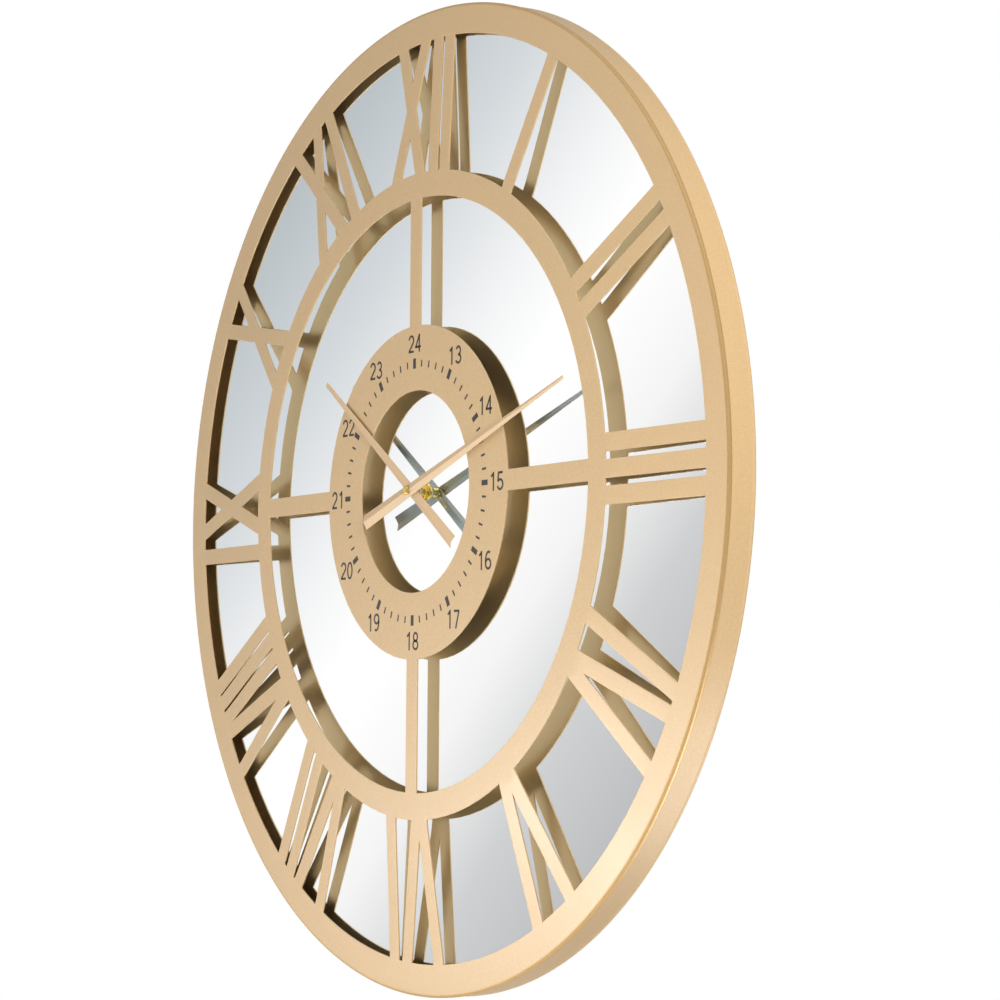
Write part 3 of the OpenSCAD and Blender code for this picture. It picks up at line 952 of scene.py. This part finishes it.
@dataclass(frozen=True)
class DigitSet:
    """Plain upright digits as bands of one width along lines and arcs, in cells one high."""

    width: float = 0.60
    stroke: float = 0.128
    steps: int = 28

    def line(self, *corners: Pair) -> np.ndarray:
        """A straight path.

        Args:
            corners: Its two ends.

        Returns:
            Its points.
        """
        return np.array(corners)

    def arc(self, centre: Pair, radii: Pair, first: float, last: float) -> np.ndarray:
        """A path along an ellipse: the centre plus the radii times (cos a, sin a).

        Args:
            centre: The ellipse's centre.
            radii: Its half width and half height.
            first: First angle in degrees.
            last: Last angle in degrees.

        Returns:
            Its points.
        """
        angles = np.radians(np.linspace(first, last, self.steps))
        circle = np.stack([np.cos(angles), np.sin(angles)], axis=1)
        return np.array(centre) + circle * np.array(radii)

    def six(self) -> list[np.ndarray]:
        """The paths of a six, which also makes a nine when it is turned over.

        Returns:
            Its paths.
        """
        return [
            self.arc((0.30, 0.31), (0.24, 0.25), 0, 360),
            self.arc((0.34, 0.46), (0.28, 0.48), 190, 62),
        ]

    def paths(self, digit: int) -> list[np.ndarray]:
        """The paths of one digit.

        Args:
            digit: The digit.

        Returns:
            Its paths.
        """
        line, arc = self.line, self.arc
        match digit:
            case 0:
                return [arc((0.30, 0.5), (0.24, 0.44), 0, 360)]
            case 1:
                return [line((0.37, 0.0), (0.37, 1.0)), line((0.39, 0.93), (0.15, 0.76))]
            case 2:
                return [
                    arc((0.30, 0.69), (0.235, 0.25), 168, -38),
                    line((0.503, 0.562), (0.075, 0.09)),
                    line((0.03, 0.064), (0.555, 0.064)),
                ]
            case 3:
                return [
                    arc((0.29, 0.72), (0.205, 0.22), 158, -92),
                    arc((0.29, 0.285), (0.245, 0.225), 92, -160),
                ]
            case 4:
                return [
                    line((0.435, 0.97), (0.045, 0.27)),
                    line((0.0, 0.285), (0.585, 0.285)),
                    line((0.42, 0.0), (0.42, 1.0)),
                ]
            case 5:
                return [
                    line((0.115, 0.936), (0.535, 0.936)),
                    line((0.15, 0.97), (0.085, 0.47)),
                    arc((0.29, 0.315), (0.25, 0.255), 146, -162),
                ]
            case 6:
                return self.six()
            case 7:
                return [line((0.035, 0.936), (0.56, 0.936)), line((0.525, 0.93), (0.22, 0.0))]
            case 8:
                return [
                    arc((0.30, 0.725), (0.20, 0.215), 0, 360),
                    arc((0.30, 0.285), (0.24, 0.225), 0, 360),
                ]
            case _:
                return [np.array([self.width, 1.0]) - path for path in self.six()]

    def ribbon(self, path: np.ndarray) -> Ribbon:
        """Widens a path to a flat closed band.

        A corner is the path's point plus or minus half the stroke along the path's normal, once
        on the raised side and once on the sunk side.

        Args:
            path: Points of the path.

        Returns:
            The band, centred on the digit's cell.
        """
        along = np.gradient(path, axis=0)
        closed = bool(np.allclose(path[0], path[-1]))
        if closed:
            along[0] = along[-1] = path[1] - path[-2]
        along /= np.linalg.norm(along, axis=1)[:, None]
        side = np.stack([along[:, 1], -along[:, 0]], axis=1) * self.stroke / 2
        points = (path[:-1], side[:-1]) if closed else (path, side)
        corners = np.stack([points[0] - points[1], points[0] + points[1]] * 2, axis=1)
        corners[:, 2:] = corners[:, 3:1:-1]
        count = len(corners)
        here = np.arange(count if closed else count - 1)
        after = (here + 1) % count
        faces = np.concatenate([
            np.stack([4 * here + a, 4 * here + b, 4 * after + b, 4 * after + a], axis=1)
            for a, b in ((0, 1), (1, 2), (2, 3), (3, 0))
        ])
        if not closed:
            last = 4 * (count - 1)
            faces = np.concatenate([faces, [[3, 2, 1, 0]], [[last, last + 1, last + 2, last + 3]]])
        centred = corners.reshape(-1, 2) - np.array([self.width, 1.0]) / 2
        return Ribbon(centred, np.tile([True, True, False, False], count), faces)

    def ribbons(self, digit: int) -> list[Ribbon]:
        """The bands of one digit.

        Args:
            digit: The digit.

        Returns:
            Its bands.
        """
        return [self.ribbon(path) for path in self.paths(digit)]


DIGITS = DigitSet()


@dataclass
class DialPrint:
    """The printed ring on the dial: minute marks, five-minute marks and the hours 13 to 24."""

    ink_t: float = 0.06 * MM
    ink_sink: float = 0.02 * MM
    minute_inner: float = 88.8 * MM
    minute_outer: float = 93.7 * MM
    minute_w: float = 1.5 * MM
    five_inner: float = 87.8 * MM
    five_outer: float = 95.2 * MM
    five_w: float = 3.7 * MM
    number_r: float = 106.0 * MM
    number_h: float = 12.9 * MM
    digit_pitch: float = 0.71

    def __post_init__(self) -> None:
        """Takes the dial's front and centre from the face's solid."""
        low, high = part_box("face_plate")
        self.front = low.y
        self.centre = np.array([(low.x + high.x) / 2, 0.0, (low.z + high.z) / 2])
        self.ink = INK.material()

    def marks(
        self, angles: np.ndarray, inner: float, outer: float, width: float
    ) -> tuple[np.ndarray, np.ndarray]:
        """Works out thin closed bars that point to the dial's centre.

        A bar's corner is the centre plus the radius along the direction (sin a, cos a) plus half
        the width along (cos a, -sin a), at the front or the back of the ink.

        Args:
            angles: Angles clockwise from the top, in radians.
            inner: Radius of the inner ends.
            outer: Radius of the outer ends.
            width: Width of a bar.

        Returns:
            Corners, eight for each bar, and their faces.
        """
        along = np.stack([np.sin(angles), np.cos(angles)], axis=1)[:, None, :]
        across = np.stack([np.cos(angles), -np.sin(angles)], axis=1)[:, None, :]
        radius = np.array([inner, inner, outer, outer] * 2)[None, :, None]
        side = np.array([-1.0, 1.0, 1.0, -1.0] * 2)[None, :, None] * width / 2
        flat = along * radius + across * side
        depth = np.repeat([self.front + self.ink_sink, self.front - self.ink_t], 4)
        depth = np.broadcast_to(depth[None, :, None], (len(angles), 8, 1))
        points = np.concatenate([flat[..., :1], depth, flat[..., 1:]], axis=2) + self.centre
        sides = np.array(
            [[0, 3, 2, 1], [4, 5, 6, 7], [0, 1, 5, 4], [1, 2, 6, 5], [2, 3, 7, 6], [3, 0, 4, 7]]
        )
        faces = sides[None, :, :] + 8 * np.arange(len(angles))[:, None, None]
        return points.reshape(-1, 3), faces.reshape(-1, 4)

    def ring_of_marks(self) -> bpy.types.Object:
        """Builds all sixty marks as one piece.

        Returns:
            The piece.
        """
        minutes = np.arange(MINUTES)
        angles, five = minutes * (math.tau / MINUTES), minutes % (MINUTES // HOURS) == 0
        small = self.marks(angles[~five], self.minute_inner, self.minute_outer, self.minute_w)
        large = self.marks(angles[five], self.five_inner, self.five_outer, self.five_w)
        points = np.concatenate([small[0], large[0]])
        faces = np.concatenate([small[1], large[1] + len(small[0])])
        return self.print_piece("minute_marks", points, faces)

    def number(self, hour: int) -> bpy.types.Object:
        """Builds one upright number of the afternoon ring from two digits.

        A point of a digit lies at the number's centre plus its place in the digit's cell, times
        the digits' height, and each digit's cell is half a pitch to one side.

        Args:
            hour: Hours clockwise from the top, from 1 to 12.

        Returns:
            The piece.
        """
        shown = hour + HOURS
        angle = hour * math.tau / HOURS
        centre = np.array([math.sin(angle), math.cos(angle)]) * self.number_r
        points, faces = [], []
        for side, digit in zip((-0.5, 0.5), str(shown)):
            for ribbon in DIGITS.ribbons(int(digit)):
                moved = ribbon.flat + np.array([side * self.digit_pitch, 0.0])
                flat = centre + moved * self.number_h
                depth = np.where(ribbon.raised, self.front - self.ink_t, self.front + self.ink_sink)
                faces.append(ribbon.faces + sum(len(part) for part in points))
                points.append(np.stack([flat[:, 0], depth, flat[:, 1]], axis=1) + self.centre)
        return self.print_piece(f"number_{shown}", np.concatenate(points), np.concatenate(faces))

    def print_piece(self, name: str, points: np.ndarray, faces: np.ndarray) -> bpy.types.Object:
        """Puts a mesh on the clock as print.

        Args:
            name: The piece's name.
            points: Its corners, in place.
            faces: Its faces.

        Returns:
            The piece.
        """
        piece = placed(name, meshed(name, points, faces, self.ink))
        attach(piece, STATIC_BODY)
        LOG.info("%s printed", name)
        return piece

    def build(self) -> None:
        """Prints the marks and the numbers."""
        self.ring_of_marks()
        for hour in range(1, HOURS + 1):
            self.number(hour)


class Light(Enum):
    """What a lamp is for: the body of a colour, or the sheen on it."""

    BODY = "body"
    SHEEN = "sheen"


@dataclass(frozen=True)
class SoftBox:
    """A soft rectangular lamp."""

    name: str
    light: Light
    place: Triple
    aim: Triple
    width: float
    height: float
    power: float

    def hang(self) -> bpy.types.Object:
        """Puts the lamp in the scene.

        Returns:
            The lamp.
        """
        data = bpy.data.lights.new(self.name, "AREA")
        data.shape = "RECTANGLE"
        data.size, data.size_y = self.width, self.height
        data.energy = self.power
        lamp = placed(self.name, data)
        way = Vector(self.aim) - Vector(self.place)
        lamp.location = self.place
        lamp.rotation_mode = "QUATERNION"
        lamp.rotation_quaternion = way.to_track_quat("-Z", "Y")
        lamp.visible_camera = False
        lamp.visible_diffuse = self.light is Light.BODY
        lamp.visible_glossy = self.light is Light.SHEEN
        if self.light is Light.SHEEN:
            self.spare(lamp, frame["nodes"]["mirror_glass"])
        return lamp

    def spare(self, lamp: bpy.types.Object, mirror: bpy.types.Object) -> None:
        """Keeps the lamp's own picture out of a mirror.

        Args:
            lamp: The lamp.
            mirror: The mirror.
        """
        spared = bpy.data.collections.new(f"{self.name}_spares")
        spared.objects.link(mirror)
        spared.collection_objects[0].light_linking.link_state = "EXCLUDE"
        lamp.light_linking.receiver_collection = spared


@dataclass
class Studio:
    """The lamps, the surroundings that the mirror shows, the floor and the camera."""

    ambient: float = 0.35
    grade_axis: Triple = (0.508, -0.8625, -0.6235)
    grade_start: float = -0.178
    grade_end: float = 0.171
    grade_stops: Stops = (
        (0.0, linear(174, 179, 185)),
        (0.25, linear(217, 219, 225)),
        (0.4, linear(252, 248, 252)),
        (0.5, (1.10, 1.06, 1.08)),
        (0.65, linear(252, 248, 250)),
        (0.78, linear(214, 211, 215)),
        (1.0, linear(182, 180, 185)),
    )
    ceiling: float = 1.8
    ceiling_start: float = 0.4
    ceiling_end: float = 0.8
    dark_side: float = 0.45
    dark_reach: float = 0.35
    thrown_glow: float = 9.0
    glow_from: Triple = (-0.4, -0.75, -0.53)
    glow_start: float = 0.75
    glow_end: float = 0.97
    floor_level: float = -1.2
    floor_reach: float = 1.5
    floor_turns: int = 96
    floor_tone: float = 0.85
    floor_rough: float = 0.9
    floor_lift: float = 0.45
    camera_place: Triple = (1.53122, -0.99211, -0.38577)
    camera_turn: Triple = (98.1178, -0.262, 56.0407)
    lens: float = 91.4235
    sensor: float = 36.0
    shift: float = -0.16373
    clip: Pair = (0.05, 50.0)
    lamps: tuple[SoftBox, ...] = (
        SoftBox(
            "low_front_box", Light.BODY, place=(0.18, -1.23, -0.96), aim=(0.0, 0.0, -0.3),
            width=0.4, height=0.3, power=9.8,
        ),
        SoftBox(
            "right_box", Light.BODY, place=(1.26, -0.35, 0.11), aim=(0.2, 0.0, -0.2),
            width=0.4, height=0.4, power=9.7,
        ),
        SoftBox(
            "sheen_box", Light.SHEEN, place=(-0.73, -0.86, -0.56), aim=(0.1, 0.0, -0.4),
            width=0.08, height=0.08, power=3.6,
        ),
        SoftBox(
            "edge_box", Light.SHEEN, place=(0.55, 0.5, -1.0), aim=(0.29, 0.0, -0.4),
            width=0.7, height=0.4, power=5.6,
        ),
    )

    def room(self, tree: Tree, rays: bpy.types.bpy_prop_collection) -> bpy.types.NodeSocket:
        """Works out the room's colour: white to the camera, graded to reflections, else grey.

        The gradient follows the direction's share along one slanted axis: blue grey at one end,
        white in the middle and pale grey at the other.

        Args:
            tree: The world's tree.
            rays: What kind of ray looks.

        Returns:
            The colour.
        """
        share = tree.along(tree.place.outputs["Generated"], self.grade_axis)
        reach = tree.spread(share, 0.0, 1.0, self.grade_start, self.grade_end)
        grade = tree.ramp(reach, self.grade_stops)
        shiny = tree.calc("MAXIMUM", rays["Is Glossy Ray"], rays["Is Transmission Ray"])
        seen = tree.mixed(Mixing.COLOURS, shiny, (self.ambient,) * 3, grade)
        return tree.mixed(Mixing.COLOURS, rays["Is Camera Ray"], seen, WHITE)

    def strength(self, tree: Tree, rays: bpy.types.bpy_prop_collection) -> bpy.types.NodeSocket:
        """Works out the room's strength: even, with a bright ceiling in reflections.

        What the mirror throws on matt surfaces falls off towards the right, where the room is
        darker, and glows towards the lamps low on the left.

        Args:
            tree: The world's tree.
            rays: What kind of ray looks.

        Returns:
            The strength.
        """
        way = tree.place.outputs["Generated"]
        above = tree.calc("MULTIPLY", tree.part(way, "Z"), rays["Is Glossy Ray"])
        ceiling = tree.spread(above, 1.0, self.ceiling, self.ceiling_start, self.ceiling_end)
        reach = self.dark_reach
        side = tree.spread(tree.part(way, "X"), 1.0, self.dark_side, -reach, reach)
        near = tree.along(way, self.glow_from)
        glow = tree.spread(
            near, 0.0, self.thrown_glow, self.glow_start, self.glow_end, Step.SOFT
        )
        again = tree.calc("MINIMUM", rays["Diffuse Depth"], 1.0)
        thrown = tree.calc("MULTIPLY", again, rays["Is Glossy Ray"])
        return tree.mixed(Mixing.VALUES, thrown, ceiling, tree.calc("ADD", side, glow))

    def surroundings(self) -> None:
        """Makes the world around the clock."""
        world = bpy.data.worlds.new("studio")
        bpy.context.scene.world = world
        tree = Tree(world)
        rays = tree.node("LightPath").outputs
        background = tree.tree.nodes["Background"]
        tree.join(self.room(tree, rays), background.inputs["Color"])
        tree.join(self.strength(tree, rays), background.inputs["Strength"])

    def floor(self) -> bpy.types.Object:
        """Lays a pale round floor, white to the camera where no shadow falls.

        Returns:
            The floor.
        """
        shader = Shader("pale_floor")
        rays = shader.node("LightPath").outputs
        seen = shader.calc("MAXIMUM", rays["Is Camera Ray"], rays["Is Glossy Ray"])
        seen = shader.calc("MAXIMUM", seen, rays["Is Transmission Ray"])
        shader.give(
            Base_Color=(self.floor_tone,) * 3,
            Roughness=self.floor_rough,
            Emission_Color=WHITE,
            Emission_Strength=shader.spread(seen, 0.0, self.floor_lift),
        )
        turns = np.linspace(0.0, math.tau, self.floor_turns, endpoint=False)
        level = np.full_like(turns, self.floor_level)
        reach = self.floor_reach
        points = np.stack([reach * np.cos(turns), reach * np.sin(turns), level], axis=1)
        face = np.arange(self.floor_turns)[None, :]
        piece = placed("floor", meshed("floor", points, face, shader.material))
        return piece

    def camera(self) -> bpy.types.Object:
        """Sets the camera where the photograph was taken.

        Returns:
            The camera.
        """
        data = bpy.data.cameras.new("photo_camera")
        data.lens = self.lens
        data.sensor_width = self.sensor
        data.shift_y = self.shift
        data.clip_start, data.clip_end = self.clip
        made = placed("photo_camera", data)
        made.location = self.camera_place
        made.rotation_euler = Euler([math.radians(angle) for angle in self.camera_turn], "XYZ")
        bpy.context.scene.camera = made
        return made

    def build(self) -> None:
        """Sets up everything around the clock."""
        bpy.context.scene.view_settings.view_transform = "Standard"
        self.surroundings()
        self.floor()
        self.camera()
        for lamp in self.lamps:
            lamp.hang()
            LOG.info("%s hung", lamp.name)


def main() -> None:
    """Builds the clock's looks in order."""
    logging.basicConfig(level=logging.INFO, format="%(name)s: %(message)s")
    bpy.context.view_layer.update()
    Studio().build()
    Dressing().build(frame["nodes"])
    RimRoll().build()
    DialPrint().build()


if __name__ == "__main__":
    main()
